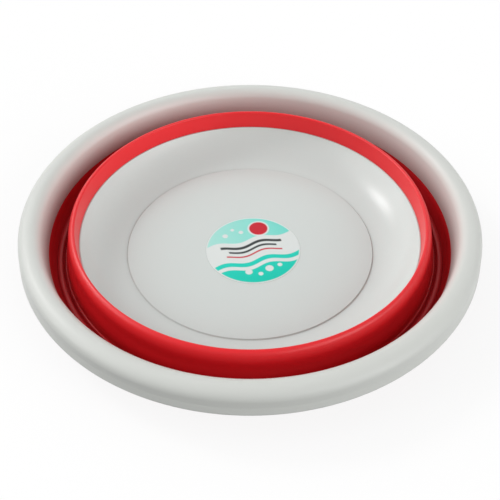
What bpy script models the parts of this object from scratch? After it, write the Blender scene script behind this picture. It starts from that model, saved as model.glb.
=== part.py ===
"""A round collapsible wash basin, pressed flat.

A stiff rolled rim and a stiff shallow base dish are joined by one folding wall of soft rubber. Flat, the wall
stands as a raised crest round the dish and dives into a valley inside the rim. Lifting the rim turns the part
of the wall between valley and crest inside out, and the basin stands open. That part is made here as narrow
bands, one inside the other, which slide up past each other as the rim rises.

Lengths are in metres. Z is up, the foot stands on Z = 0, and the basin's axis is the Z axis.
"""

import math

import bmesh
import bpy

# Whole basin
RIM_RADIUS = 0.185
FLAT_HEIGHT = 0.0465
OPEN_HEIGHT = 0.120
GAP = 0.0003
TURN_STEPS = 72

# Rim: a rolled lip, open below, with a skirt outside and a leaning wall inside
RIM_WALL = 0.0022
RIM_SKIRT_DEPTH = 0.0205
RIM_SKIRT_HEIGHT = 0.0120
RIM_BEAD_PROUD = 0.0010
RIM_BEAD_HEIGHT = 0.0030
RIM_OUTER_ROLL = 0.0105
RIM_INNER_ROLL = 0.0080
RIM_INNER_ROLL_DROP = 0.0100
RIM_WALL_HEIGHT = 0.0145
RIM_WALL_LEAN = 0.0031
RIM_ROLL_STEPS = 6

# Upper collar of the folding wall, bonded round the lower edge of the rim's inner wall
COLLAR_LAP = 0.0070
COLLAR_LAP_WALL = 0.0016
COLLAR_HEIGHT = 0.0090
COLLAR_LEAN = 0.0036
COLLAR_WALL = 0.0022
LEDGE_WIDTH = 0.0025
LEDGE_RISE = 0.0008
VALLEY_SIDE_LEAN = 0.0019
VALLEY_SIDE_WALL = 0.0020

# Bands of the folding wall, counted outward from the crest
BAND_COUNT = 4
BAND_WALL = 0.0017
BAND_DROP = 0.0080
BAND_LAP = 0.0015
BAND_EDGE_BEVEL = 0.0008
BAND_LIFT_SHARES = (0.265, 0.525, 0.770, 0.930)

# Crest and lower collar of the folding wall, bonded round the dish's edge
CREST_HEIGHT = 0.0150
CREST_SHOULDER = 0.0047
CREST_SHOULDER_DROP = 0.0055
CREST_INNER_EDGE = 0.0013
CREST_LEG_WALL = 0.0019
CREST_LEG_DEPTH = 0.0185
CREST_THICKNESS = 0.0065
CREST_STEPS = 5
INNER_FACE_LEAN = 0.0028
INNER_WALL = 0.0022
DISH_LAP = 0.0065
DISH_LAP_WALL = 0.0016
DISH_LAP_STEPS = 2

# Base dish
DISH_WALL = 0.0023
DISH_DEPTH = 0.0205
DISH_WALL_RUN = 0.0352
DISH_START_SLOPE = math.radians(5.0)
DISH_WALL_STEPS = 7
GROOVE_WIDTH = 0.0012
GROOVE_DEPTH = 0.0006
FOOT_HEIGHT = 0.0032
FOOT_WIDTH = 0.0028
FOOT_INSET = 0.0020

# Sticker on the dish's floor
LABEL_RADIUS = 0.0390
LABEL_THICKNESS = 0.0004
LABEL_BEFORE_CENTRE = 0.0050
LABEL_RIGHT_OF_CENTRE = 0.0026

# Finishes: linear colour, roughness, metallic
PALE_PLASTIC = ("pale_plastic", (0.74, 0.75, 0.72), 0.38, 0.0)
RED_RUBBER = ("red_rubber", (0.62, 0.014, 0.022), 0.52, 0.0)
LABEL_PAPER = ("label_paper", (0.35, 0.78, 0.68), 0.45, 0.0)

# Places that follow from the sizes above, from the rim inwards
SKIRT_RADIUS = RIM_RADIUS - RIM_BEAD_PROUD
CROWN_RADIUS = SKIRT_RADIUS - RIM_OUTER_ROLL
MOUTH_RADIUS = CROWN_RADIUS - RIM_INNER_ROLL
RIM_EDGE_RADIUS = MOUTH_RADIUS - RIM_WALL_LEAN
LEDGE_OUTER_RADIUS = RIM_EDGE_RADIUS - COLLAR_LEAN
LEDGE_INNER_RADIUS = LEDGE_OUTER_RADIUS - LEDGE_WIDTH
VALLEY_RADIUS = LEDGE_INNER_RADIUS - VALLEY_SIDE_LEAN
CREST_RADIUS = VALLEY_RADIUS - GAP - BAND_COUNT * (BAND_WALL + GAP)
INNER_FACE_RADIUS = CREST_RADIUS - CREST_SHOULDER - CREST_INNER_EDGE
DISH_RADIUS = INNER_FACE_RADIUS - INNER_FACE_LEAN
GROOVE_RADIUS = DISH_RADIUS - DISH_WALL_RUN
FOOT_RADIUS = GROOVE_RADIUS - FOOT_INSET

# Heights that follow
FLOOR_HEIGHT = FOOT_HEIGHT + DISH_WALL
DISH_EDGE_HEIGHT = FLOOR_HEIGHT + DISH_DEPTH
CREST_TOP = DISH_EDGE_HEIGHT + CREST_HEIGHT
MOUTH_HEIGHT = FLAT_HEIGHT - RIM_INNER_ROLL_DROP
RIM_EDGE_HEIGHT = MOUTH_HEIGHT - RIM_WALL_HEIGHT
LEDGE_HEIGHT = RIM_EDGE_HEIGHT - COLLAR_HEIGHT
SKIRT_BOTTOM = FLAT_HEIGHT - RIM_SKIRT_DEPTH
SKIRT_TOP = SKIRT_BOTTOM + RIM_SKIRT_HEIGHT
TRAVEL = OPEN_HEIGHT - FLAT_HEIGHT

# The dish's wall is an arc in section: its slope grows from the groove to the edge
DISH_CHORD = math.hypot(DISH_WALL_RUN, DISH_DEPTH)
DISH_END_SLOPE = 2 * math.atan2(DISH_DEPTH, DISH_WALL_RUN) - DISH_START_SLOPE
DISH_ARC = DISH_CHORD / (2 * math.sin((DISH_END_SLOPE - DISH_START_SLOPE) / 2))
DISH_ARC_RADIUS = GROOVE_RADIUS - DISH_ARC * math.sin(DISH_START_SLOPE)
DISH_ARC_HEIGHT = FLOOR_HEIGHT + DISH_ARC * math.cos(DISH_START_SLOPE)


def spaced(first, last, steps):
    """Evenly spaced values from first to last, both included."""
    return [first + (last - first) * step / steps for step in range(steps + 1)]


def roll(centre, width, height, start, end, steps):
    """Points (radius, height) along a part of an ellipse, with its angles in degrees from outward."""
    return [
        (centre[0] + width * math.cos(math.radians(a)), centre[1] + height * math.sin(math.radians(a)))
        for a in spaced(start, end, steps)
    ]


def dish_point(slope, below):
    """The point (radius, height) where the dish's wall has this slope, moved below its top face."""
    reach = DISH_ARC + below
    return (DISH_ARC_RADIUS + reach * math.sin(slope), DISH_ARC_HEIGHT - reach * math.cos(slope))


def dish_arc(first, last, below, steps):
    """Points along the dish's wall between two slopes, moved below its top face."""
    return [dish_point(slope, below) for slope in spaced(first, last, steps)]


def rim_outline():
    """The section of the rim: over the roll from the skirt to the inner wall, and back underneath."""
    skirt_inside = SKIRT_RADIUS - RIM_WALL
    roll_centre = (CROWN_RADIUS, SKIRT_TOP)
    mouth_centre = (CROWN_RADIUS, MOUTH_HEIGHT)
    outer_rise = FLAT_HEIGHT - SKIRT_TOP
    bead_top = SKIRT_BOTTOM + RIM_BEAD_HEIGHT
    outside = [(RIM_RADIUS, SKIRT_BOTTOM), (RIM_RADIUS, bead_top), (SKIRT_RADIUS, bead_top + RIM_BEAD_PROUD)]
    outside += roll(roll_centre, RIM_OUTER_ROLL, outer_rise, 0, 90, RIM_ROLL_STEPS)
    outside += roll(mouth_centre, RIM_INNER_ROLL, RIM_INNER_ROLL_DROP, 90, 180, RIM_ROLL_STEPS)[1:]
    outside += [(RIM_EDGE_RADIUS, RIM_EDGE_HEIGHT)]
    inside = [(RIM_EDGE_RADIUS + RIM_WALL, RIM_EDGE_HEIGHT)]
    inside += reversed(
        roll(
            mouth_centre, RIM_INNER_ROLL - RIM_WALL, RIM_INNER_ROLL_DROP - RIM_WALL, 90, 180, RIM_ROLL_STEPS
        )[1:]
    )
    inside += reversed(
        roll(roll_centre, RIM_OUTER_ROLL - RIM_WALL, outer_rise - RIM_WALL, 0, 90, RIM_ROLL_STEPS)
    )
    inside += [(skirt_inside, SKIRT_BOTTOM)]
    return outside + inside


def upper_collar_outline():
    """The section of the wall's upper collar: a lap behind the rim's wall, a ledge, and the valley's outer side."""
    lap_inside = RIM_EDGE_RADIUS + RIM_WALL + GAP
    lap_outside = lap_inside + COLLAR_LAP_WALL
    lap_lean = RIM_WALL_LEAN * COLLAR_LAP / RIM_WALL_HEIGHT
    top = RIM_EDGE_HEIGHT + COLLAR_LAP
    seat = RIM_EDGE_HEIGHT - GAP
    valley_outside = VALLEY_RADIUS + VALLEY_SIDE_WALL
    ledge_underside = LEDGE_HEIGHT - COLLAR_WALL
    return [
        (lap_outside + lap_lean, top),
        (lap_outside, RIM_EDGE_HEIGHT),
        (LEDGE_OUTER_RADIUS + COLLAR_WALL, LEDGE_HEIGHT),
        (LEDGE_INNER_RADIUS + VALLEY_SIDE_WALL, ledge_underside),
        (valley_outside, valley_bottom()),
        (VALLEY_RADIUS, valley_bottom()),
        (LEDGE_INNER_RADIUS, LEDGE_HEIGHT - LEDGE_RISE),
        (LEDGE_OUTER_RADIUS, LEDGE_HEIGHT),
        (RIM_EDGE_RADIUS, seat),
        (lap_inside, seat),
        (lap_inside + lap_lean, top),
    ]


def band_top(number):
    """The height of a band's top edge, counted outward from the crest at 0."""
    return CREST_TOP - BAND_DROP * number


def band_lift(number):
    """How far a band rises as the basin opens: the crest at 0 stays, and the rim beyond the last takes it all."""
    return TRAVEL * (0.0, *BAND_LIFT_SHARES, 1.0)[number]


def lapped_bottom(number):
    """The bottom edge that still laps the next ring inwards when the basin is open."""
    return band_top(number - 1) + band_lift(number - 1) - band_lift(number) - BAND_LAP


def valley_bottom():
    """The bottom edge of the upper collar, beyond the last band."""
    return lapped_bottom(BAND_COUNT + 1)


def band_outline(number):
    """The section of one band, a plain strip with its upper outer edge eased."""
    inside = CREST_RADIUS + GAP + (number - 1) * (BAND_WALL + GAP)
    outside = inside + BAND_WALL
    top = band_top(number)
    return [
        (outside - BAND_EDGE_BEVEL, top),
        (outside, top - BAND_EDGE_BEVEL),
        (outside, lapped_bottom(number)),
        (inside, lapped_bottom(number)),
        (inside, top),
    ]


def lower_collar_outline():
    """The section of the crest and lower collar: an outer leg, the rounded top, and a lap under the dish's edge."""
    shoulder_height = CREST_TOP - CREST_SHOULDER_DROP
    shoulder_centre = (CREST_RADIUS - CREST_SHOULDER, shoulder_height)
    edge_centre = (INNER_FACE_RADIUS + CREST_INNER_EDGE, CREST_TOP - CREST_INNER_EDGE)
    leg_bottom = CREST_TOP - CREST_LEG_DEPTH
    leg_inside = CREST_RADIUS - CREST_LEG_WALL
    apex_height = CREST_TOP - CREST_THICKNESS
    apex_radius = INNER_FACE_RADIUS + INNER_WALL
    lap_top = DISH_WALL + GAP
    lap_back = lap_top + DISH_LAP_WALL
    gap_turn = GAP / DISH_ARC
    lap_turn = DISH_LAP / DISH_ARC
    lap_end = DISH_END_SLOPE - lap_turn
    outline = list(reversed(roll(shoulder_centre, CREST_SHOULDER, CREST_SHOULDER_DROP, 0, 90, CREST_STEPS)))
    outline += [(CREST_RADIUS, leg_bottom), (leg_inside, leg_bottom)]
    outline += [(leg_inside, apex_height - CREST_LEG_WALL), (apex_radius, apex_height)]
    outline += dish_arc(DISH_END_SLOPE, lap_end, lap_back, DISH_LAP_STEPS)
    outline += dish_arc(lap_end, DISH_END_SLOPE + gap_turn, lap_top, DISH_LAP_STEPS)
    outline += [dish_point(DISH_END_SLOPE + gap_turn, 0.0)]
    outline += reversed(roll(edge_centre, CREST_INNER_EDGE, CREST_INNER_EDGE, 90, 180, CREST_STEPS)[1:])
    return outline


def dish_outline():
    """Half the section of the dish, from the middle of its floor over the groove to the edge, and back below."""
    groove = [
        (GROOVE_RADIUS - GROOVE_WIDTH, FLOOR_HEIGHT),
        (GROOVE_RADIUS - GROOVE_WIDTH / 2, FLOOR_HEIGHT - GROOVE_DEPTH),
    ]
    wall = dish_arc(DISH_START_SLOPE, DISH_END_SLOPE, 0.0, DISH_WALL_STEPS)
    under = dish_arc(DISH_END_SLOPE, DISH_START_SLOPE, DISH_WALL, DISH_WALL_STEPS)
    foot = [
        (FOOT_RADIUS, FOOT_HEIGHT),
        (FOOT_RADIUS, 0.0),
        (FOOT_RADIUS - FOOT_WIDTH, 0.0),
        (FOOT_RADIUS - FOOT_WIDTH, FOOT_HEIGHT),
    ]
    return [(0.0, FLOOR_HEIGHT), *groove, *wall, *under, *foot, (0.0, FOOT_HEIGHT)]


def label_outline():
    """Half the section of the sticker, a thin disc that lies on the dish's floor."""
    bottom = FLOOR_HEIGHT + GAP
    top = bottom + LABEL_THICKNESS
    return [(0.0, top), (LABEL_RADIUS, top), (LABEL_RADIUS, bottom), (0.0, bottom)]


def material(finish):
    """The material of one finish, made once and shared by the pieces that have it."""
    name, colour, roughness, metallic = finish
    made = bpy.data.materials.get(name)
    if made:
        return made
    made = bpy.data.materials.new(name)
    made.use_nodes = True
    shader = made.node_tree.nodes["Principled BSDF"]
    shader.inputs["Base Color"].default_value = (*colour, 1.0)
    shader.inputs["Roughness"].default_value = roughness
    shader.inputs["Metallic"].default_value = metallic
    made.diffuse_color = (*colour, 1.0)
    return made


def turned(name, outline, finish, right=0.0, behind=0.0):
    """One solid made by turning its section round the Z axis: a ring, or a disc where the section meets the axis."""
    mesh = bpy.data.meshes.new(name)
    shape = bmesh.new()
    points = [shape.verts.new((radius, 0.0, height)) for radius, height in outline]
    on_axis = outline[0][0] == 0.0
    pairs = list(zip(points, points[1:]))
    if not on_axis:
        pairs.append((points[-1], points[0]))
    edges = [shape.edges.new(pair) for pair in pairs]
    bmesh.ops.spin(
        shape,
        geom=points + edges,
        cent=(0.0, 0.0, 0.0),
        axis=(0.0, 0.0, 1.0),
        angle=math.tau,
        steps=TURN_STEPS,
        use_merge=True,
    )
    if on_axis:
        poles = [point for point in shape.verts if math.hypot(point.co.x, point.co.y) < GAP]
        bmesh.ops.remove_doubles(shape, verts=poles, dist=GAP / 2)
    bmesh.ops.recalc_face_normals(shape, faces=shape.faces)
    shape.to_mesh(mesh)
    shape.free()
    mesh.shade_smooth()
    mesh.set_sharp_from_angle(angle=math.radians(35.0))
    mesh.materials.append(material(finish))
    piece = bpy.data.objects.new(name, mesh)
    piece.location = (right, behind, 0.0)
    bpy.context.scene.collection.objects.link(piece)
    return piece


def travelling_empty(name, parent):
    """An empty on the basin's axis that carries the pieces of one moving group."""
    empty = bpy.data.objects.new(name, None)
    empty.parent = parent
    bpy.context.scene.collection.objects.link(empty)
    return empty


def carry(carrier, pieces):
    """Hangs pieces on the empty that moves them."""
    for piece in pieces:
        piece.parent = carrier


def clear_scene():
    """Leaves nothing in the scene."""
    for old in list(bpy.data.objects):
        bpy.data.objects.remove(old)


def build():
    """Makes every piece and groups the pieces that move together."""
    clear_scene()
    base = travelling_empty("base_group", None)
    rim = travelling_empty("rim_group", base)
    carry(
        base,
        [
            turned("base_dish", dish_outline(), PALE_PLASTIC),
            turned("wall_lower_collar", lower_collar_outline(), RED_RUBBER),
            turned("label", label_outline(), LABEL_PAPER, LABEL_RIGHT_OF_CENTRE, -LABEL_BEFORE_CENTRE),
        ],
    )
    for number in range(1, BAND_COUNT + 1):
        slide = travelling_empty(f"band_{number}_group", base)
        carry(slide, [turned(f"wall_band_{number}", band_outline(number), RED_RUBBER)])
    carry(
        rim,
        [
            turned("rim_frame", rim_outline(), PALE_PLASTIC),
            turned("wall_upper_collar", upper_collar_outline(), RED_RUBBER),
        ],
    )


build()
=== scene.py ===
"""The looks of a round collapsible wash basin, pressed flat.

A rolled rim of satin plastic and a shallow dish of the same plastic are joined by one folding wall of soft
red rubber. The wall is three meshes: a collar that travels with the rim, a fold that lies between rim and
base, and the crest's inner side, which stays with the dish. They meet edge to edge, so that they read as one
moulding.

Every piece is turned round the Z axis. A section is a list of (radius, height) points in metres.
"""

from __future__ import annotations

import logging
import math
from dataclasses import dataclass, replace
from enum import Enum
from typing import Iterable

import bmesh
import bpy
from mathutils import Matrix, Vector


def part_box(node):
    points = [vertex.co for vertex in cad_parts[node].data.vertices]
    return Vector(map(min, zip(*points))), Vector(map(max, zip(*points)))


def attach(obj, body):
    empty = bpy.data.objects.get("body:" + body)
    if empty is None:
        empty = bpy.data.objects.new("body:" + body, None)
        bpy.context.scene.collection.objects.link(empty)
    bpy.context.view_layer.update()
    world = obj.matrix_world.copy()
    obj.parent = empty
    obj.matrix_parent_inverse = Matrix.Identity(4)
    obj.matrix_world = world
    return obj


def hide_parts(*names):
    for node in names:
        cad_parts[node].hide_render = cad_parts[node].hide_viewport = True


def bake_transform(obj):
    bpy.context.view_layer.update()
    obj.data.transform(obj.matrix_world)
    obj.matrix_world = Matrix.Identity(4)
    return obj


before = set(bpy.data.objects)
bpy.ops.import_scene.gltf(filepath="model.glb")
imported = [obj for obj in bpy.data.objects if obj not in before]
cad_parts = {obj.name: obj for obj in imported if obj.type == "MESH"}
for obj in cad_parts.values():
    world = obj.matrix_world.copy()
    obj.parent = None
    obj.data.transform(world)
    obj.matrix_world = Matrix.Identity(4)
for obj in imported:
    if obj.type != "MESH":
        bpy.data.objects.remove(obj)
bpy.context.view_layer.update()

LOG = logging.getLogger("wash_basin")
MM = 0.001
TURN_STEPS = 288
EASE_STEPS = 6
SHARP_ANGLE = math.radians(40.0)
BLACK = (0.0, 0.0, 0.0)

# A ring narrower than this is a single point on the axis.
AXIS_RADIUS = 0.001 * MM

Point = tuple[float, float]
Corner = tuple[float, float, float]
Colour = tuple[float, float, float]
Socket = bpy.types.NodeSocket
Value = float | Socket


class Body(Enum):
    """The moving bodies that carry the pieces."""

    BASE = "base"
    RIM = "rim"


class Slot(Enum):
    """The record's material slots."""

    PLASTIC = "pale_plastic"
    RUBBER = "red_rubber"
    STICKER = "label_paper"


# Sections


@dataclass(frozen=True)
class Ellipse:
    """An ellipse in the section plane. Its angles are in degrees, from outward (0) over upward (90)."""

    centre: Point
    width: float
    height: float

    def point(self, angle: float) -> Point:
        """The point at one angle."""
        turn = math.radians(angle)
        return (self.centre[0] + self.width * math.cos(turn), self.centre[1] + self.height * math.sin(turn))

    def arc(self, start: float, end: float, steps: int) -> list[Point]:
        """Points from one angle to another in equal steps, both ends included."""
        return [self.point(start + (end - start) * step / steps) for step in range(steps + 1)]

    def touch(self, outside: Point) -> float:
        """Finds where a straight line from a point below touches the inner side of the ellipse.

        Args:
            outside: a point outside the ellipse.

        Returns:
            The angle of the touching point.
        """
        across = (outside[0] - self.centre[0]) / self.width
        along = (outside[1] - self.centre[1]) / self.height
        turn = math.atan2(along, across) % math.tau - math.acos(1.0 / math.hypot(across, along))
        return math.degrees(turn)


class Outline:
    """A section that grows point by point, with corners that can be eased."""

    def __init__(self) -> None:
        """Starts with no points."""
        self._corners: list[Corner] = []

    def corner(self, radius: float, height: float, ease: float = 0.0) -> Outline:
        """Adds a corner at a radius and a height, rounded with its ease as the radius of the rounding."""
        self._corners.append((radius, height, ease))
        return self

    def follow(self, points: Iterable[Point]) -> Outline:
        """Adds the points of a curve."""
        self._corners.extend((radius, height, 0.0) for radius, height in points)
        return self

    def closed(self) -> list[Point]:
        """Goes round the whole loop.

        Returns:
            Its points, with the corners eased.
        """
        count = len(self._corners)
        points: list[Point] = []
        for index, corner in enumerate(self._corners):
            before = self._corners[index - 1]
            after = self._corners[(index + 1) % count]
            points.extend(self._eased(before, corner, after))
        return points

    def to_axis(self) -> list[Point]:
        """Goes along a half section whose first and last corner lie on the axis.

        Returns:
            Its points, with the corners between those two eased.
        """
        points: list[Point] = [self._corners[0][:2]]
        for before, corner, after in zip(self._corners, self._corners[1:], self._corners[2:]):
            points.extend(self._eased(before, corner, after))
        return [*points, self._corners[-1][:2]]

    @staticmethod
    def _eased(before: Corner, corner: Corner, after: Corner) -> list[Point]:
        """Rounds one corner.

        Args:
            before: the corner before it.
            corner: the corner to round.
            after: the corner after it.

        Returns:
            The corner's own point, or the points of its rounding.
        """
        place = Vector(corner[:2])
        if corner[2] == 0.0:
            return [tuple(place)]
        back = Vector(before[:2]) - place
        ahead = Vector(after[:2]) - place
        half = back.angle(ahead) / 2
        reach = min(corner[2] / math.tan(half), back.length / 2, ahead.length / 2)
        radius = reach * math.tan(half)
        start = place + back.normalized() * reach
        end = place + ahead.normalized() * reach
        middle = place + (back.normalized() + ahead.normalized()).normalized() * radius / math.sin(half)
        first, last = start - middle, end - middle
        sweep = first.angle_signed(last)
        turned_by = [-sweep * step / EASE_STEPS for step in range(EASE_STEPS + 1)]
        return [
            (
                middle.x + first.x * math.cos(turn) - first.y * math.sin(turn),
                middle.y + first.x * math.sin(turn) + first.y * math.cos(turn),
            )
            for turn in turned_by
        ]


def bezier(first: Point, first_pull: Point, last_pull: Point, last: Point, steps: int) -> list[Point]:
    """Points along a cubic curve.

    Args:
        first: where it starts.
        first_pull: the handle of its start.
        last_pull: the handle of its end.
        last: where it ends.
        steps: how many stretches it is cut into.

    Returns:
        The points, both ends included.
    """
    spots = (first, first_pull, last_pull, last)
    points = []
    for step in range(steps + 1):
        t = step / steps
        weights = ((1 - t) ** 3, 3 * t * (1 - t) ** 2, 3 * t * t * (1 - t), t**3)
        points.append(tuple(sum(w * spot[axis] for w, spot in zip(weights, spots)) for axis in (0, 1)))
    return points


def offset(path: list[Point], distance: float) -> list[Point]:
    """Moves an open path sideways, to the right of its direction.

    Args:
        path: the points.
        distance: how far each point moves.

    Returns:
        As many points as the path has.
    """
    moved = []
    for index, spot in enumerate(path):
        before = Vector(path[max(index - 1, 0)])
        after = Vector(path[min(index + 1, len(path) - 1)])
        along = (after - before).normalized()
        moved.append((spot[0] + along.y * distance, spot[1] - along.x * distance))
    return moved


def placed(name: str, data: bpy.types.ID) -> bpy.types.Object:
    """Puts a mesh, a light or a camera into the scene.

    Args:
        name: the object's name.
        data: what it shows.

    Returns:
        The new object.
    """
    thing = bpy.data.objects.new(name, data)
    bpy.context.scene.collection.objects.link(thing)
    return thing


def turned(
    name: str, section: list[Point], loop: bool = True, centre: Point = (0.0, 0.0)
) -> bpy.types.Object:
    """Turns a section into a closed, smooth piece.

    Args:
        name: the piece's name.
        section: points round the section.
        loop: whether the section is a closed loop, rather than one that starts and ends on the axis.
        centre: where the piece's own axis stands.

    Returns:
        The new object, in the scene.
    """
    shape = bmesh.new()
    turns = [math.tau * step / TURN_STEPS for step in range(TURN_STEPS)]
    rings = []
    for radius, height in section:
        spots = [(centre[0], centre[1], height)]
        if radius > AXIS_RADIUS:
            spots = [
                (centre[0] + radius * math.cos(turn), centre[1] + radius * math.sin(turn), height)
                for turn in turns
            ]
        rings.append([shape.verts.new(spot) for spot in spots])
    pairs = list(zip(rings, rings[1:]))
    if loop:
        pairs.append((rings[-1], rings[0]))
    for one, other in pairs:
        for step in range(TURN_STEPS):
            following = (step + 1) % TURN_STEPS
            corners = [one[step % len(one)], one[following % len(one)]]
            corners += [other[following % len(other)], other[step % len(other)]]
            shape.faces.new(list(dict.fromkeys(corners)))
    bmesh.ops.recalc_face_normals(shape, faces=shape.faces)
    mesh = bpy.data.meshes.new(name)
    shape.to_mesh(mesh)
    shape.free()
    mesh.shade_smooth()
    mesh.set_sharp_from_angle(angle=SHARP_ANGLE)
    return placed(name, mesh)


# Finishes


class Nodes:
    """A node tree that grows one node at a time."""

    def __init__(self, tree: bpy.types.NodeTree) -> None:
        """Takes the tree that grows."""
        self.tree = tree

    def add(
        self, kind: str, values: dict[str | int, object] | None = None, **settings: object
    ) -> bpy.types.Node:
        """Adds a node.

        Args:
            kind: the node's type.
            values: what goes into its sockets, each a plain value or another node's output.
            **settings: the node's own options.

        Returns:
            The node.
        """
        node = self.tree.nodes.new(kind)
        for setting, value in settings.items():
            setattr(node, setting, value)
        for socket, value in (values or {}).items():
            self.put(value, node.inputs[socket])
        return node

    def put(self, value: object, socket: Socket) -> None:
        """Sets a socket to a plain value, or links another node's output to it.

        Args:
            value: the plain value or the output.
            socket: the socket that gets it.
        """
        if isinstance(value, bpy.types.NodeSocket):
            self.tree.links.new(value, socket)
        else:
            socket.default_value = value

    def math(self, operation: str, first: Value, second: Value = 0.0) -> Socket:
        """The result of one sum."""
        return self.add("ShaderNodeMath", {0: first, 1: second}, operation=operation).outputs[0]

    def spread(self, value: Socket, low: float, high: float) -> Socket:
        """Stretches a value from 0 to 1 over another range."""
        values = {"Value": value, "To Min": low, "To Max": high}
        return self.add("ShaderNodeMapRange", values).outputs["Result"]


class SurfaceNodes(Nodes):
    """The nodes of one material, round its one shader."""

    def __init__(self, name: str) -> None:
        """Makes the material.

        Args:
            name: the material's name.
        """
        self.material = bpy.data.materials.new(name)
        self.material.use_nodes = True
        super().__init__(self.material.node_tree)
        self.shader = self.tree.nodes["Principled BSDF"]

    def place(self) -> Socket:
        """The place on the object, in metres."""
        return self.add("ShaderNodeTexCoord").outputs["Object"]

    def noise(self, size: float, detail: float) -> Socket:
        """Soft noise from 0 to 1, with spots as wide as size and as many finer layers as detail."""
        values = {"Vector": self.place(), "Scale": 1.0 / size, "Detail": detail}
        return self.add("ShaderNodeTexNoise", values).outputs["Fac"]

    def mix(self, share: Value, first: Value | Colour, second: Value | Colour) -> Socket:
        """A colour between two colours.

        Args:
            share: how much there is of the second.
            first: a colour or another node's output.
            second: a colour or another node's output.

        Returns:
            The mixed colour.
        """
        values: dict[str | int, object] = {0: share}
        for socket, colour in ((6, first), (7, second)):
            values[socket] = (*colour, 1.0) if isinstance(colour, tuple) else colour
        return self.add("ShaderNodeMix", values, data_type="RGBA").outputs[2]

    def openness(self, reach: float) -> Socket:
        """How free a place is of walls close by, from 0 in a narrow gap to 1 in the open."""
        return self.add("ShaderNodeAmbientOcclusion", {"Distance": reach}).outputs["AO"]

    def bump(self, height: Socket, depth: float) -> None:
        """Gives the surface a relief that rises by depth as its height goes from 0 to 1."""
        node = self.add("ShaderNodeBump", {"Height": height, "Distance": depth})
        self.put(node.outputs["Normal"], self.shader.inputs["Normal"])


def shaded(colour: Colour, share: float) -> Colour:
    """A colour made lighter or darker."""
    return tuple(channel * share for channel in colour)


@dataclass(frozen=True)
class Moulded:
    """A moulded finish with drifting colour and gloss, a fine grain, and painted shade that darkens its
    crevices.

    Drifts are shares of the colour and steps of roughness, to both sides. Painted shade darkens the crevices:
    the colour falls to the painted shade's keep share where walls close by leave no room, and stays whole
    where nothing lies within the painted shade's reach.
    """

    name: str
    colour: Colour
    roughness: float
    specular: float
    colour_drift: float
    gloss_drift: float
    cloud_size: float
    grain_size: float
    grain_depth: float
    painted_shade_reach: float
    painted_shade_keep: float
    cloud_layers: float = 3.0
    grain_layers: float = 2.0
    grain_share: float = 0.2

    def material(self) -> bpy.types.Material:
        """Builds the material, or finds the one made before.

        Returns:
            The material.
        """
        made = bpy.data.materials.get(self.name)
        if made:
            return made
        nodes = SurfaceNodes(self.name)
        clouds = nodes.noise(self.cloud_size, self.cloud_layers)
        grain = nodes.noise(self.grain_size, self.grain_layers)
        dark = shaded(self.colour, 1.0 - self.colour_drift)
        light = shaded(self.colour, 1.0 + self.colour_drift)
        clouds_part = nodes.math("MULTIPLY", clouds, 1.0 - self.grain_share)
        grain_part = nodes.math("MULTIPLY", grain, self.grain_share)
        speckle = nodes.math("ADD", clouds_part, grain_part)
        # Painted shade: ambient occlusion darkens the colour in crevices and recesses, where shade falls.
        painted_shade = nodes.spread(nodes.openness(self.painted_shade_reach), self.painted_shade_keep, 1.0)
        nodes.put(nodes.mix(painted_shade, BLACK, nodes.mix(speckle, dark, light)), nodes.shader.inputs["Base Color"])
        gloss = nodes.spread(speckle, self.roughness - self.gloss_drift, self.roughness + self.gloss_drift)
        nodes.put(gloss, nodes.shader.inputs["Roughness"])
        nodes.put(self.specular, nodes.shader.inputs["Specular IOR Level"])
        nodes.bump(grain, self.grain_depth)
        return nodes.material


RIM_PLASTIC = Moulded(
    name="rim_plastic",
    colour=(0.698, 0.715, 0.682),
    roughness=0.40,
    specular=0.50,
    colour_drift=0.012,
    gloss_drift=0.03,
    cloud_size=60 * MM,
    grain_size=0.7 * MM,
    grain_depth=0.012 * MM,
    painted_shade_reach=22 * MM,
    painted_shade_keep=0.40,
)
# Painted light: a lighter, greener copy of the rim's plastic, set against red bounce light and painted shade.
DISH_PLASTIC = replace(
    RIM_PLASTIC,
    name="dish_plastic",
    colour=(0.712, 0.775, 0.752),
    roughness=0.25,
    specular=0.40,
    painted_shade_reach=40 * MM,
    painted_shade_keep=0.46,
)
CREST_RUBBER = Moulded(
    name="crest_rubber",
    colour=(0.860, 0.015, 0.022),
    roughness=0.33,
    specular=0.42,
    colour_drift=0.03,
    gloss_drift=0.03,
    cloud_size=45 * MM,
    grain_size=0.9 * MM,
    grain_depth=0.018 * MM,
    painted_shade_reach=6 * MM,
    painted_shade_keep=0.60,
)
FOLD_RUBBER = replace(CREST_RUBBER, name="fold_rubber", painted_shade_reach=20 * MM, painted_shade_keep=0.58)
# Painted shade: the collar is a darker copy of the same red rubber, for the shaded valley that it lines.
COLLAR_RUBBER = replace(
    FOLD_RUBBER,
    name="collar_rubber",
    colour=(0.720, 0.013, 0.020),
    roughness=0.45,
    painted_shade_keep=0.46,
)


@dataclass(frozen=True)
class Wave:
    """A wave across the sticker: its height in the middle, its reach to each side, and its thickness."""

    height: float
    reach: float
    thickness: float


@dataclass(frozen=True)
class Disc:
    """A disc on the sticker: its place to the right of the middle and up from it, and its radius."""

    right: float
    up: float
    radius: float


# A wave with this reach runs out over the sticker's edge on both sides.
WHOLE_WIDTH = 2.0


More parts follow.
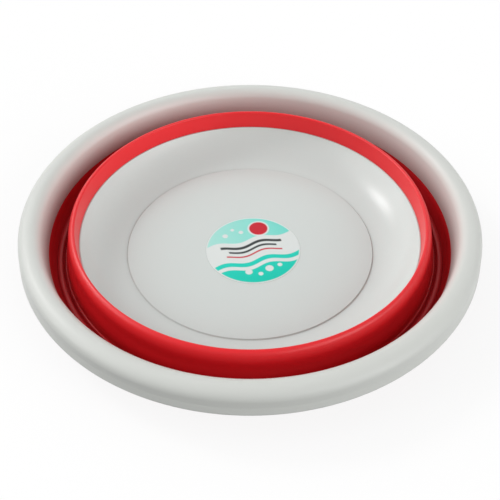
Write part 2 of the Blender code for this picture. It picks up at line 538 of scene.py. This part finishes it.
@dataclass(frozen=True)
class StickerPrint:
    """A printed sticker: pale sky, a band of foam with ripple lines on it, green sea, a red sun and bubbles.

    The print's own lengths are shares of the sticker's radius, and it slants. The sizes of the film's gloss
    and crinkles are real ones.
    """

    name: str = "sticker_print"
    haze: Colour = (0.46, 0.86, 0.78)
    sky: Colour = (0.19, 0.80, 0.70)
    sea: Colour = (0.02, 0.74, 0.60)
    deep_sea: Colour = (0.01, 0.66, 0.50)
    white: Colour = (0.81, 0.87, 0.85)
    ink: Colour = (0.035, 0.045, 0.045)
    red: Colour = (0.62, 0.018, 0.035)
    edge_blur: float = 0.012
    border: float = 0.975
    slant: float = math.radians(17.0)
    swell: float = 0.055
    length: float = 0.92
    foam: Wave = Wave(0.01, WHOLE_WIDTH, 0.62)
    undertow: Wave = Wave(-0.47, WHOLE_WIDTH, 0.10)
    ripples: tuple[Wave, ...] = (Wave(0.155, 0.66, 0.075), Wave(0.02, 0.52, 0.055))
    red_ripple: Wave = Wave(-0.115, 0.60, 0.04)
    sun: Disc = Disc(0.30, 0.59, 0.20)
    sun_glow: float = 0.035
    bubbles: tuple[Disc, ...] = (
        Disc(-0.28, -0.62, 0.075),
        Disc(-0.06, -0.74, 0.050),
        Disc(0.16, -0.64, 0.085),
        Disc(0.40, -0.60, 0.050),
        Disc(-0.46, 0.56, 0.060),
        Disc(-0.26, 0.70, 0.040),
        Disc(-0.10, 0.58, 0.050),
    )
    specular: float = 0.25
    roughness: tuple[float, float] = (0.40, 0.48)
    gloss_size: float = 6 * MM
    gloss_layers: float = 2.0
    crinkle_size: float = 9 * MM
    crinkle_layers: float = 1.0
    crinkle_depth: float = 0.03 * MM

    def material(self, centre: Point, radius: float) -> bpy.types.Material:
        """Builds the material.

        Args:
            centre: where the sticker's middle lies.
            radius: the sticker's radius.

        Returns:
            The material.
        """
        nodes = SurfaceNodes(self.name)
        right, up = self._place(nodes, centre, radius)
        nodes.put(self._colour(nodes, right, up), nodes.shader.inputs["Base Color"])
        gloss = nodes.spread(nodes.noise(self.gloss_size, self.gloss_layers), *self.roughness)
        nodes.put(gloss, nodes.shader.inputs["Roughness"])
        nodes.put(self.specular, nodes.shader.inputs["Specular IOR Level"])
        nodes.bump(nodes.noise(self.crinkle_size, self.crinkle_layers), self.crinkle_depth)
        return nodes.material

    def _place(self, nodes: Nodes, centre: Point, radius: float) -> tuple[Socket, Socket]:
        """Finds where a point lies on the slanted print.

        Args:
            nodes: the material's nodes.
            centre: where the sticker's middle lies.
            radius: the sticker's radius.

        Returns:
            How far the point lies to the right of the middle and up from it.
        """
        values = {"Vector": nodes.place(), "Center": (*centre, 0.0), "Angle": -self.slant}
        level_place = nodes.add("ShaderNodeVectorRotate", values, rotation_type="Z_AXIS").outputs[0]
        spot = nodes.add("ShaderNodeSeparateXYZ", {0: level_place})
        right = nodes.math("DIVIDE", nodes.math("SUBTRACT", spot.outputs[0], centre[0]), radius)
        up = nodes.math("DIVIDE", nodes.math("SUBTRACT", spot.outputs[1], centre[1]), radius)
        return right, up

    def _colour(self, nodes: Nodes, right: Socket, up: Socket) -> Socket:
        """Lays the print's colours over each other, from the sky and the sea up to the white border.

        Args:
            nodes: the material's nodes.
            right: how far a point lies to the right.
            up: how far it lies up.

        Returns:
            Its colour.
        """
        rise = nodes.math("SINE", nodes.math("MULTIPLY", right, math.tau / self.length))
        level = nodes.math("SUBTRACT", up, nodes.math("MULTIPLY", rise, self.swell))
        across = nodes.math("ADD", nodes.math("MULTIPLY", right, 0.5), 0.5)
        sky = nodes.mix(across, self.haze, self.sky)
        sea = nodes.mix(nodes.math("MULTIPLY", up, -1.0), self.sea, self.deep_sea)
        colour = nodes.mix(self._below(nodes, level, self.foam.height), sky, sea)
        glow = replace(self.sun, radius=self.sun.radius + self.sun_glow)
        for disc, paint in ((glow, self.white), (self.sun, self.red)):
            colour = nodes.mix(self._disc(nodes, right, up, disc), colour, paint)
        for wave in (self.foam, self.undertow):
            colour = nodes.mix(self._wave(nodes, right, level, wave), colour, self.white)
        for wave in self.ripples:
            colour = nodes.mix(self._wave(nodes, right, level, wave), colour, self.ink)
        colour = nodes.mix(self._wave(nodes, right, level, self.red_ripple), colour, self.red)
        for bubble in self.bubbles:
            colour = nodes.mix(self._disc(nodes, right, up, bubble), colour, self.white)
        inside = self._disc(nodes, right, up, Disc(0.0, 0.0, self.border))
        return nodes.mix(inside, self.white, colour)

    def _below(self, nodes: Nodes, value: Socket, edge: float) -> Socket:
        """Tells whether a value is below an edge.

        Args:
            nodes: the material's nodes.
            value: the value.
            edge: what it is compared with.

        Returns:
            1 below the edge and 0 above it, with a soft step between.
        """
        values = {"Value": value, "From Min": edge - self.edge_blur, "From Max": edge + self.edge_blur}
        values.update({"To Min": 1.0, "To Max": 0.0})
        return nodes.add("ShaderNodeMapRange", values).outputs["Result"]

    def _disc(self, nodes: Nodes, right: Socket, up: Socket, disc: Disc) -> Socket:
        """Tells whether a point lies on a disc.

        Args:
            nodes: the material's nodes.
            right: how far the point lies to the right.
            up: how far it lies up.
            disc: the disc.

        Returns:
            1 on the disc and 0 beside it.
        """
        across = nodes.math("SUBTRACT", right, disc.right)
        along = nodes.math("SUBTRACT", up, disc.up)
        across_squared = nodes.math("MULTIPLY", across, across)
        along_squared = nodes.math("MULTIPLY", along, along)
        distance = nodes.math("SQRT", nodes.math("ADD", across_squared, along_squared))
        return self._below(nodes, distance, disc.radius)

    def _wave(self, nodes: Nodes, right: Socket, level: Socket, wave: Wave) -> Socket:
        """Tells whether a point lies on a wave.

        Args:
            nodes: the material's nodes.
            right: how far the point lies to the right.
            level: how far it lies up, less the swell there.
            wave: the wave.

        Returns:
            1 on the wave and 0 beside it.
        """
        off = nodes.math("ABSOLUTE", nodes.math("SUBTRACT", level, wave.height))
        inside = self._below(nodes, nodes.math("ABSOLUTE", right), wave.reach)
        return nodes.math("MULTIPLY", self._below(nodes, off, wave.thickness / 2), inside)


# Sub-assemblies


def put_on(piece: bpy.types.Object, slot: Slot, material: bpy.types.Material, nodes: Iterable[str]) -> None:
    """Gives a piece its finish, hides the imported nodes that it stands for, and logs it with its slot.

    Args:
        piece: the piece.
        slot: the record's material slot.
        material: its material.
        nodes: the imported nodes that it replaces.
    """
    piece.data.materials.append(material)
    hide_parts(*nodes)
    LOG.info("%s: %d faces, slot %s", piece.name, len(piece.data.polygons), slot.value)


@dataclass
class RimShell:
    """The stiff rim: a rolled lip, open below, with a flared skirt outside and a leaning wall inside."""

    wall: float = 2.2 * MM
    skirt_depth: float = 20.5 * MM
    skirt_height: float = 12.0 * MM
    bead_proud: float = 1.0 * MM
    bead_height: float = 1.6 * MM
    flare_height: float = 5.5 * MM
    outer_roll: float = 10.5 * MM
    inner_roll: float = 8.0 * MM
    inner_roll_drop: float = 10.0 * MM
    wall_lean: float = 3.1 * MM
    edge_ease: float = 0.5 * MM
    flare_ease: float = 5.0 * MM
    roll_steps: int = 22
    node: str = "rim_frame"

    def __post_init__(self) -> None:
        """Takes the rim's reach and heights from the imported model."""
        low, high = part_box(self.node)
        self.radius = high.x
        self.crown = high.z
        self.edge_height = low.z
        self.skirt_radius = self.radius - self.bead_proud
        self.crown_radius = self.skirt_radius - self.outer_roll
        self.edge_radius = self.crown_radius - self.inner_roll - self.wall_lean

    def section(self) -> list[Point]:
        """Draws the section, from the bead over the roll to the inner wall's edge, and back underneath.

        Returns:
            The points round it.
        """
        bottom = self.crown - self.skirt_depth
        skirt_top = bottom + self.skirt_height
        bead_top = bottom + self.bead_height
        rise = self.crown - skirt_top
        outer = Ellipse((self.crown_radius, skirt_top), self.outer_roll, rise)
        inner_centre = (self.crown_radius, self.crown - self.inner_roll_drop)
        inner = Ellipse(inner_centre, self.inner_roll, self.inner_roll_drop)
        outer_back = Ellipse(outer.centre, outer.width - self.wall, outer.height - self.wall)
        inner_back = Ellipse(inner.centre, inner.width - self.wall, inner.height - self.wall)
        edge = (self.edge_radius, self.edge_height)
        edge_back = (self.edge_radius + self.wall, self.edge_height)
        outline = Outline()
        outline.corner(self.radius, bottom, self.edge_ease)
        outline.corner(self.radius, bead_top, self.flare_ease)
        outline.corner(self.skirt_radius, bead_top + self.flare_height, self.flare_ease)
        outline.follow(outer.arc(0, 90, self.roll_steps))
        outline.follow(inner.arc(90, inner.touch(edge), self.roll_steps)[1:])
        outline.corner(*edge, self.edge_ease)
        outline.corner(*edge_back, self.edge_ease)
        outline.follow(inner_back.arc(inner_back.touch(edge_back), 90, self.roll_steps))
        outline.follow(outer_back.arc(90, 0, self.roll_steps)[1:])
        outline.corner(self.skirt_radius - self.wall, bottom, self.edge_ease)
        return outline.closed()

    def build(self) -> None:
        """Makes the rim and lets it travel with the rim's body."""
        piece = turned("rim_shell", self.section())
        put_on(piece, Slot.PLASTIC, RIM_PLASTIC.material(), [self.node])
        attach(piece, Body.RIM.value)


@dataclass
class DishShell:
    """The stiff dish: a flat disc, a step down from it to a curved wall with a level lip, and a foot ring."""

    wall: float = 2.3 * MM
    depth: float = 20.5 * MM
    wall_run: float = 35.2 * MM
    disc_radius: float = 102.1 * MM
    start_slope: float = math.radians(8.0)
    step_height: float = 1.0 * MM
    step_width: float = 0.8 * MM
    step_ease: float = 0.4 * MM
    foot_height: float = 3.2 * MM
    foot_width: float = 2.8 * MM
    foot_inset: float = 2.0 * MM
    foot_ease: float = 0.7 * MM
    edge_ease: float = 0.3 * MM
    gate_radius: float = 7.0 * MM
    gate_depth: float = 0.4 * MM
    gate_nub: float = 1.3 * MM
    gate_ease: float = 0.3 * MM
    wall_steps: int = 36
    node: str = "base_dish"

    def __post_init__(self) -> None:
        """Works out the arc that the wall follows in section, and where it ends above and below."""
        self.floor = self.foot_height + self.wall
        self.edge_radius = self.disc_radius + self.wall_run
        self.edge_height = self.floor + self.depth
        rise = self.depth + self.step_height
        self.end_slope = 2 * math.atan2(rise, self.wall_run) - self.start_slope
        half_turn = (self.end_slope - self.start_slope) / 2
        self.bend = math.hypot(self.wall_run, rise) / (2 * math.sin(half_turn))
        self.bend_radius = self.disc_radius - self.bend * math.sin(self.start_slope)
        self.bend_height = self.edge_height + self.bend * math.cos(self.end_slope)
        self.back_slope = math.acos((self.bend_height - self.edge_height) / (self.bend + self.wall))

    def on_wall(self, slope: float, below: float = 0.0) -> Point:
        """The point where the wall has this slope, moved below its upper face."""
        reach = self.bend + below
        return (self.bend_radius + reach * math.sin(slope), self.bend_height - reach * math.cos(slope))

    def along_wall(self, first: float, last: float, below: float, steps: int) -> list[Point]:
        """Points from one slope to another in equal steps, both ends included, moved below the upper face."""
        return [self.on_wall(first + (last - first) * step / steps, below) for step in range(steps + 1)]

    def section(self) -> list[Point]:
        """Draws half the section, from the middle of the floor to the edge, and back below to the gate mark.

        Returns:
            The points along it.
        """
        foot_outside = self.disc_radius - self.foot_inset
        foot_inside = foot_outside - self.foot_width
        gate_roof = self.foot_height + self.gate_depth
        edge_turn = self.edge_ease / self.bend
        step_turn = 2 * self.step_ease / self.bend
        outline = Outline()
        outline.corner(0.0, self.floor)
        outline.corner(self.disc_radius - self.step_width, self.floor, self.step_ease)
        outline.corner(self.disc_radius, self.floor - self.step_height, self.step_ease)
        outline.follow(
            self.along_wall(self.start_slope + step_turn, self.end_slope - edge_turn, 0.0, self.wall_steps)
        )
        outline.corner(*self.on_wall(self.end_slope), self.edge_ease)
        outline.corner(*self.on_wall(self.back_slope, self.wall), self.edge_ease)
        outline.follow(
            self.along_wall(self.back_slope - edge_turn, self.start_slope, self.wall, self.wall_steps)
        )
        outline.corner(foot_outside, self.foot_height - self.step_height, self.foot_ease)
        outline.corner(foot_outside, 0.0, self.foot_ease)
        outline.corner(foot_inside, 0.0, self.foot_ease)
        outline.corner(foot_inside, self.foot_height, self.foot_ease)
        outline.corner(self.gate_radius, self.foot_height, self.gate_ease)
        outline.corner(self.gate_radius, gate_roof, self.gate_ease)
        outline.corner(self.gate_nub, gate_roof, self.gate_ease)
        outline.corner(self.gate_nub, self.foot_height, self.gate_ease)
        outline.corner(0.0, self.foot_height)
        return outline.to_axis()

    def build(self) -> None:
        """Makes the dish, which is part of the base."""
        piece = turned("dish_shell", self.section(), loop=False)
        put_on(piece, Slot.PLASTIC, DISH_PLASTIC.material(), [self.node])
        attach(piece, Body.BASE.value)


@dataclass
class FoldingWall:
    """The soft wall, one moulding from the rim's inner edge to the valley and over the crest to the dish.

    Its angles are in degrees, as an ellipse has them. The shoulder's and the valley's pull are the handles of
    the curve that the flank follows between them. The laps lie hidden behind the rim's wall and the dish's
    edge.
    """

    rim: RimShell
    dish: DishShell
    gap: float = 0.05 * MM
    skin: float = 1.9 * MM
    lap: float = 7.0 * MM
    lap_wall: float = 1.6 * MM
    collar_height: float = 12.5 * MM
    collar_lean: float = 4.6 * MM
    collar_wall: float = 2.2 * MM
    ledge_width: float = 5.2 * MM
    ledge_ease: float = 1.6 * MM
    ledge_lift: float = 0.4 * MM
    ridge_height: float = 1.6 * MM
    ridge_angle: float = 10.0
    bulge: float = 0.9 * MM
    bulge_ease: float = 12.0 * MM
    valley_lean: float = 1.0 * MM
    valley_turn: float = 0.9 * MM
    valley_rise: float = 6.2 * MM
    shoulder_width: float = 4.9 * MM
    shoulder_drop: float = 10.5 * MM
    shoulder_pull: float = 9.0 * MM
    valley_pull: float = 11.0 * MM
    crest_edge: float = 1.3 * MM
    seam_angle: float = 75.0
    lip_width: float = 0.9 * MM
    dish_lap: float = 6.5 * MM
    seat_ease: float = 0.08 * MM
    back_ease: float = 1.0 * MM
    turn_steps: int = 14
    flank_steps: int = 40
    lap_steps: int = 8
    upper_node: str = "wall_upper_collar"
    lower_node: str = "wall_lower_collar"
    band_nodes: tuple[str, ...] = ("wall_band_1", "wall_band_2", "wall_band_3", "wall_band_4")

    def __post_init__(self) -> None:
        """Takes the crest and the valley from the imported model."""
        crest_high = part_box(self.lower_node)[1]
        valley_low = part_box(self.upper_node)[0]
        self.crest_radius = crest_high.x
        self.crest_top = crest_high.z
        self.ledge_outer = self.rim.edge_radius - self.collar_lean
        self.ledge_height = self.rim.edge_height - self.collar_height
        valley_side = self.ledge_outer - self.ledge_width - self.valley_lean
        turn_height = valley_low.z + self.skin + self.valley_turn + self.valley_rise
        centre = (valley_side - self.valley_turn, turn_height)
        self.valley = Ellipse(centre, self.valley_turn, self.valley_turn)
        self.valley_back = Ellipse(centre, self.valley_turn + self.skin, self.valley_turn + self.skin)
        shoulder_centre = (self.crest_radius - self.shoulder_width, self.crest_top - self.shoulder_drop)
        self.shoulder = Ellipse(shoulder_centre, self.shoulder_width, self.shoulder_drop)

    def collar_section(self) -> list[Point]:
        """Draws the upper collar: a lap behind the rim's wall, a slope, the ledge, and the valley's side.

        Returns:
            The points round its section.
        """
        inside = self.rim.edge_radius + self.rim.wall + self.gap
        outside = inside + self.lap_wall
        lean = self.rim.wall_lean / 2
        top = self.rim.edge_height + self.lap
        seat = self.rim.edge_height - self.gap
        ledge_inner = self.ledge_outer - self.ledge_width
        outline = Outline()
        outline.corner(outside + lean, top, self.seat_ease)
        outline.corner(outside, self.rim.edge_height, self.back_ease)
        outline.corner(self.ledge_outer + self.collar_wall, self.ledge_height, self.back_ease)
        outline.corner(ledge_inner + self.skin, self.ledge_height - self.collar_wall, self.back_ease)
        outline.follow(self.valley_back.arc(0, -90, self.turn_steps))
        outline.follow(self.valley.arc(-90, 0, self.turn_steps))
        ridge_place = (self.ledge_outer - self.ledge_width / 2, self.ledge_height + self.ledge_lift)
        ridge = Ellipse(ridge_place, self.ledge_width / 2, self.ridge_height)
        outline.follow(ridge.arc(180, self.ridge_angle, self.turn_steps))
        outline.corner(self.ledge_outer, ridge_place[1], self.ledge_ease)
        middle = ((self.ledge_outer + self.rim.edge_radius) / 2, (ridge_place[1] + seat) / 2)
        outline.corner(middle[0] + self.bulge, middle[1], self.bulge_ease)
        outline.corner(self.rim.edge_radius, seat, self.seat_ease)
        outline.corner(inside, seat)
        outline.corner(inside + lean, top, self.seat_ease)
        return outline.closed()

    def fold_face(self) -> list[Point]:
        """Draws the upper face of the fold, from the crest's seam over its shoulder to the valley's seam.

        Returns:
            The points along it.
        """
        shoulder = self.shoulder.arc(self.seam_angle, 0, self.turn_steps)
        turn = self.valley.arc(180, 270, self.turn_steps)
        first, last = shoulder[-1], turn[0]
        flank = bezier(
            first,
            (first[0], first[1] - self.shoulder_pull),
            (last[0], last[1] + self.valley_pull),
            last,
            self.flank_steps,
        )
        return [*shoulder, *flank[1:], *turn[1:]]

    def fold_section(self) -> list[Point]:
        """The points round the fold's section, which is one skin thick."""
        face = self.fold_face()
        return [*face, *reversed(offset(face, self.skin))]

    def seam_back(self) -> Point:
        """The point below the crest's seam, on the rubber's hidden face."""
        return offset(self.fold_face()[:2], self.skin)[0]

    def crest_section(self) -> list[Point]:
        """Draws the crest's inner side: its edge, the inner face, and a lap under the dish's edge.

        Returns:
            The points round its section.
        """
        edge_centre = (self.shoulder.centre[0], self.crest_top - self.crest_edge)
        edge = Ellipse(edge_centre, self.crest_edge, self.crest_edge)
        over = self.dish.wall + self.gap
        back = over + self.lap_wall
        seat = self.dish.edge_height + self.gap
        lap_top = self.dish.back_slope
        lap_end = lap_top - self.dish_lap / self.dish.bend
        outline = Outline()
        outline.follow([self.seam_back(), self.fold_face()[0]])
        outline.follow(self.shoulder.arc(self.seam_angle, 90, self.lap_steps)[1:])
        outline.follow(edge.arc(90, 180, self.turn_steps)[1:])
        outline.corner(self.dish.edge_radius + self.lip_width, seat, self.seat_ease)
        outline.corner(self.dish.on_wall(lap_top, over)[0], seat)
        outline.follow(self.dish.along_wall(lap_top, lap_end, over, self.lap_steps))
        outline.follow(self.dish.along_wall(lap_end, lap_top, back, self.lap_steps))
        return outline.closed()

    def build(self) -> None:
        """Makes the three meshes: one on the rim, one on the base, and the fold between them."""
        collar = turned("rubber_collar", self.collar_section())
        put_on(collar, Slot.RUBBER, COLLAR_RUBBER.material(), [self.upper_node])
        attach(collar, Body.RIM.value)
        crest = turned("rubber_crest", self.crest_section())
        put_on(crest, Slot.RUBBER, CREST_RUBBER.material(), [self.lower_node])
        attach(crest, Body.BASE.value)
        fold = turned("rubber_fold", self.fold_section())
        put_on(fold, Slot.RUBBER, FOLD_RUBBER.material(), self.band_nodes)
        valley_floor = (0.0, 0.0, self.valley.point(270)[1])
        seam_level = (0.0, 0.0, self.seam_back()[1])
        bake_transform(fold)


@dataclass
class Sticker:
    """The round printed sticker on the dish's floor."""

    dish: DishShell
    thickness: float = 0.22 * MM
    lift: float = 0.04 * MM
    edge_ease: float = 0.08 * MM
    node: str = "label"

    def build(self) -> None:
        """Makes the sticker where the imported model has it."""
        low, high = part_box(self.node)
        centre = ((low.x + high.x) / 2, (low.y + high.y) / 2)
        radius = (high.x - low.x) / 2
        bottom = self.dish.floor + self.lift
        top = bottom + self.thickness
        outline = Outline()
        outline.corner(0.0, top)
        outline.corner(radius, top, self.edge_ease)
        outline.corner(radius, bottom, self.edge_ease)
        outline.corner(0.0, bottom)
        piece = turned("sticker", outline.to_axis(), loop=False, centre=centre)
        put_on(piece, Slot.STICKER, StickerPrint().material(centre, radius), [self.node])
        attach(piece, Body.BASE.value)


# Studio


@dataclass(frozen=True)
class Lamp:
    """A broad, soft lamp, far away. Its angles are in degrees, its azimuth from the right over the back.

    At level 1 it lights a white surface that faces it so that it shows as white.
    """

    name: str
    azimuth: float
    elevation: float
    level: float
    spread: float

    def towards(self) -> Vector:
        """The direction from the basin to the lamp."""
        turn, rise = math.radians(self.azimuth), math.radians(self.elevation)
        return Vector((math.cos(rise) * math.cos(turn), math.cos(rise) * math.sin(turn), math.sin(rise)))

    def build(self) -> None:
        """Makes the lamp."""
        light = bpy.data.lights.new(self.name, "SUN")
        light.energy = self.level * math.pi
        light.angle = math.radians(self.spread)
        placed(self.name, light).rotation_euler = self.towards().to_track_quat("Z", "Y").to_euler()


@dataclass(frozen=True)
class Studio:
    """White surroundings, a pale floor that keeps the basin's shadow, lamps, and the photograph's camera."""

    ambient: float = 0.38
    floor_colour: float = 0.14
    floor_reach: float = 6.0
    floor_cells: int = 8
    lamps: tuple[Lamp, ...] = (
        Lamp("lamp_left", azimuth=174.0, elevation=28.0, level=0.34, spread=50.0),
        Lamp("lamp_rear_left", azimuth=147.0, elevation=41.0, level=0.18, spread=13.0),
        Lamp("lamp_rear_left_low", azimuth=135.0, elevation=30.0, level=0.13, spread=50.0),
        Lamp("lamp_rear", azimuth=90.0, elevation=30.0, level=0.03, spread=50.0),
        Lamp("lamp_right", azimuth=342.0, elevation=18.0, level=0.21, spread=50.0),
        Lamp("lamp_front_right", azimuth=315.0, elevation=18.0, level=0.335, spread=50.0),
    )
    camera_distance: float = 0.70
    camera_elevation: float = math.radians(42.4)
    camera_centre_height: float = 28 * MM
    camera_lens: float = 61.8
    camera_near: float = 10 * MM

    def build(self) -> None:
        """Makes everything around the basin."""
        self._surroundings()
        self._floor()
        for lamp in self.lamps:
            lamp.build()
        self._camera()
        bpy.context.scene.view_settings.view_transform = "Standard"

    @staticmethod
    def _seen(nodes: Nodes) -> Socket:
        """Tells what a ray is for.

        Args:
            nodes: the node tree that asks.

        Returns:
            1 for rays from the camera and for mirrored or refracted ones, and 0 for the light on the basin.
        """
        rays = nodes.add("ShaderNodeLightPath").outputs
        seen_or_mirrored = nodes.math("MAXIMUM", rays["Is Camera Ray"], rays["Is Glossy Ray"])
        return nodes.math("MAXIMUM", seen_or_mirrored, rays["Is Transmission Ray"])

    def _surroundings(self) -> None:
        """Makes a world that shows white and lights at the ambient level."""
        world = bpy.data.worlds.new("white_surroundings")
        world.use_nodes = True
        nodes = Nodes(world.node_tree)
        background = nodes.tree.nodes["Background"]
        nodes.put((1.0, 1.0, 1.0, 1.0), background.inputs["Color"])
        nodes.put(nodes.spread(self._seen(nodes), self.ambient, 1.0), background.inputs["Strength"])
        bpy.context.scene.world = world

    def _floor_material(self) -> bpy.types.Material:
        """Builds a matt finish whose glow makes up what the lamps lack for it to show white.

        Returns:
            The material.
        """
        level = self.ambient + sum(lamp.level * lamp.towards().z for lamp in self.lamps)
        material = bpy.data.materials.new("studio_floor")
        material.use_nodes = True
        nodes = Nodes(material.node_tree)
        nodes.tree.nodes.clear()
        paint = (self.floor_colour, self.floor_colour, self.floor_colour, 1.0)
        matt = nodes.add("ShaderNodeBsdfDiffuse", {"Color": paint})
        glow = nodes.math("MULTIPLY", self._seen(nodes), 1.0 - self.floor_colour * level)
        shine = nodes.add("ShaderNodeEmission", {"Strength": glow})
        both = nodes.add("ShaderNodeAddShader", {0: matt.outputs[0], 1: shine.outputs[0]})
        nodes.add("ShaderNodeOutputMaterial", {"Surface": both.outputs[0]})
        return material

    def _floor(self) -> None:
        """Makes a level floor that shows white where the basin casts no shadow."""
        shape = bmesh.new()
        bmesh.ops.create_grid(
            shape, x_segments=self.floor_cells, y_segments=self.floor_cells, size=self.floor_reach
        )
        mesh = bpy.data.meshes.new("studio_floor")
        shape.to_mesh(mesh)
        shape.free()
        mesh.materials.append(self._floor_material())
        placed("studio_floor", mesh)

    def _camera(self) -> None:
        """Makes a camera with the photograph's viewing angle and perspective, framed on the basin."""
        lens = bpy.data.cameras.new("photo_camera")
        lens.lens = self.camera_lens
        lens.clip_start = self.camera_near
        camera = placed("photo_camera", lens)
        back = -self.camera_distance * math.cos(self.camera_elevation)
        up = self.camera_centre_height + self.camera_distance * math.sin(self.camera_elevation)
        camera.location = (0.0, back, up)
        camera.rotation_euler = camera.location.to_track_quat("Z", "Y").to_euler()
        bpy.context.scene.camera = camera


def main() -> None:
    """Builds the basin piece by piece, and the studio around it."""
    logging.basicConfig(level=logging.INFO, format="%(name)s: %(message)s")
    rim = RimShell()
    dish = DishShell()
    rim.build()
    dish.build()
    FoldingWall(rim, dish).build()
    Sticker(dish).build()
    Studio().build()


if __name__ == "__main__":
    main()
